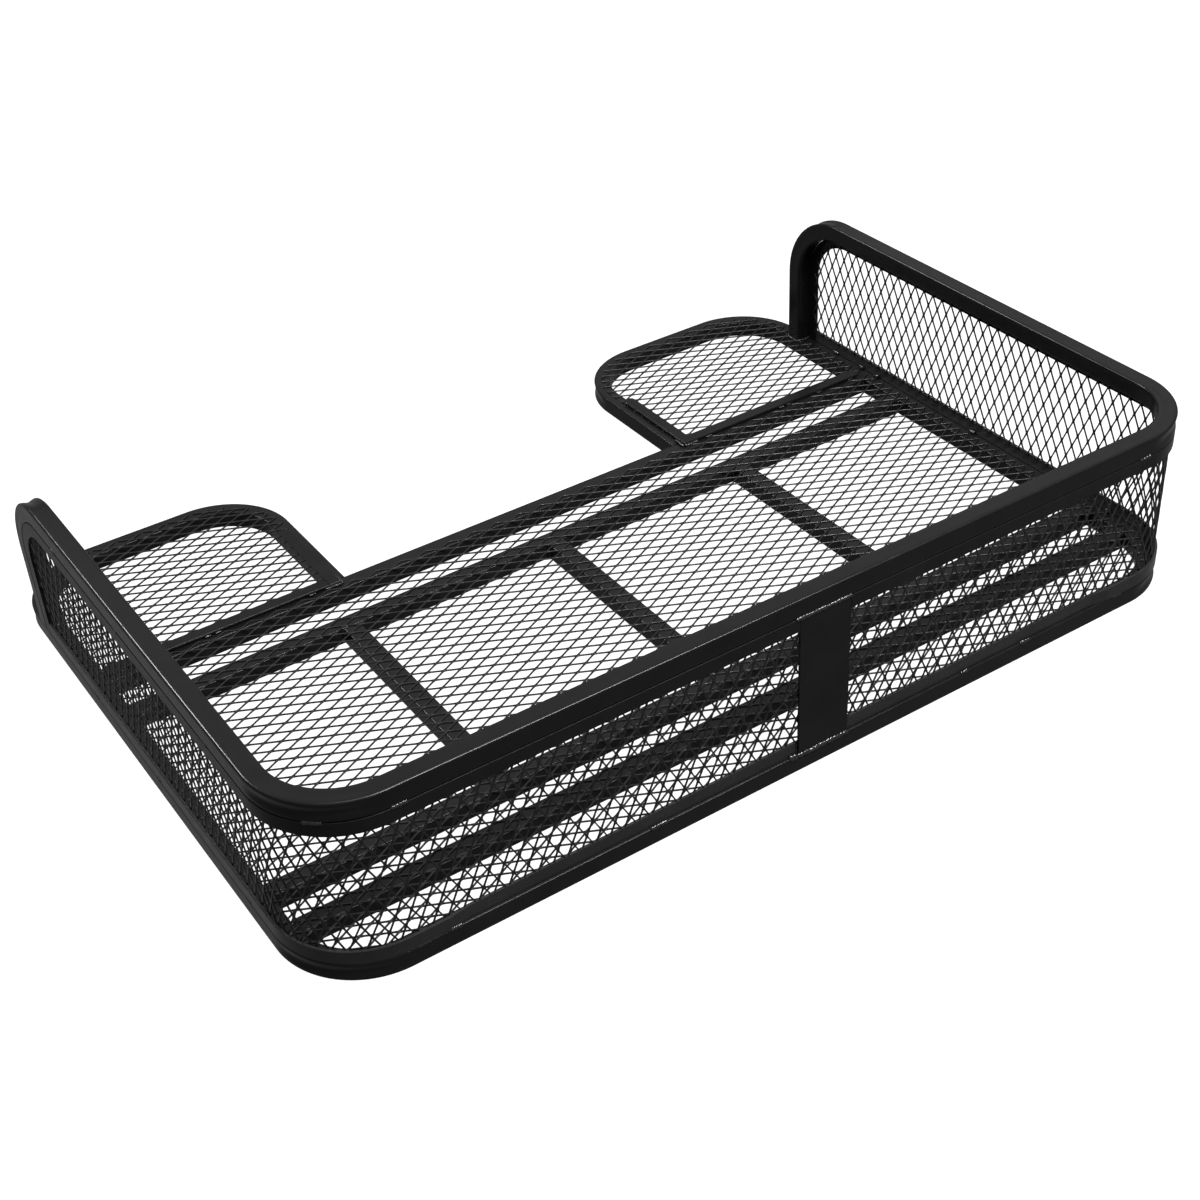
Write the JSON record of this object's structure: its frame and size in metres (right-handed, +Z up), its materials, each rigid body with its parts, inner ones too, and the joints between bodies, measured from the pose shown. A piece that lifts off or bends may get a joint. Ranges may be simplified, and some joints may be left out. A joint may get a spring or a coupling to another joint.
{
  "type": "atv rear rack drop basket",
  "caption": "Welded steel drop basket for an ATV rear rack: shallow expanded-metal walls and floor on square tube, with two forward wings beside a seat notch.",
  "frame": {"origin": "centre of the outline in plan, on the underside of the floor tubes", "axes": "+Z up, +X to the basket's right, +Y forwards, from the closed rear wall to the tips of the two wings"},
  "size_m": [1.12, 0.82, 0.217],
  "materials": {
    "frame_powder_coat": "satin black powder coat",
    "bar_powder_coat": "satin black powder coat",
    "mesh_powder_coat": "satin black powder coat on expanded metal"
  },
  "bodies": {
    "root": {"rear_frame_tube": "frame_powder_coat", "front_tube": "frame_powder_coat", "front_floor_tube": "frame_powder_coat", "middle_floor_tube": "frame_powder_coat", "rear_floor_tube": "frame_powder_coat", "left_cross_member": "frame_powder_coat", "centre_cross_member": "frame_powder_coat", "right_cross_member": "frame_powder_coat", "left_wing_tube": "frame_powder_coat", "right_wing_tube": "frame_powder_coat", "top_rail": "frame_powder_coat", "rear_plate": "bar_powder_coat", "rear_upper_strip_left": "bar_powder_coat", "rear_upper_strip_right": "bar_powder_coat", "rear_lower_strip_left": "bar_powder_coat", "rear_lower_strip_right": "bar_powder_coat", "left_rail_strip": "bar_powder_coat", "right_rail_strip": "bar_powder_coat", "left_lower_strip": "bar_powder_coat", "right_lower_strip": "bar_powder_coat", "left_wing_cross_bar": "bar_powder_coat", "right_wing_cross_bar": "bar_powder_coat", "left_wing_leg_bar": "bar_powder_coat", "right_wing_leg_bar": "bar_powder_coat", "floor_mesh": "mesh_powder_coat", "left_wing_mesh": "mesh_powder_coat", "right_wing_mesh": "mesh_powder_coat", "left_wall_mesh": "mesh_powder_coat", "right_wall_mesh": "mesh_powder_coat"}
  },
  "joints": []
}
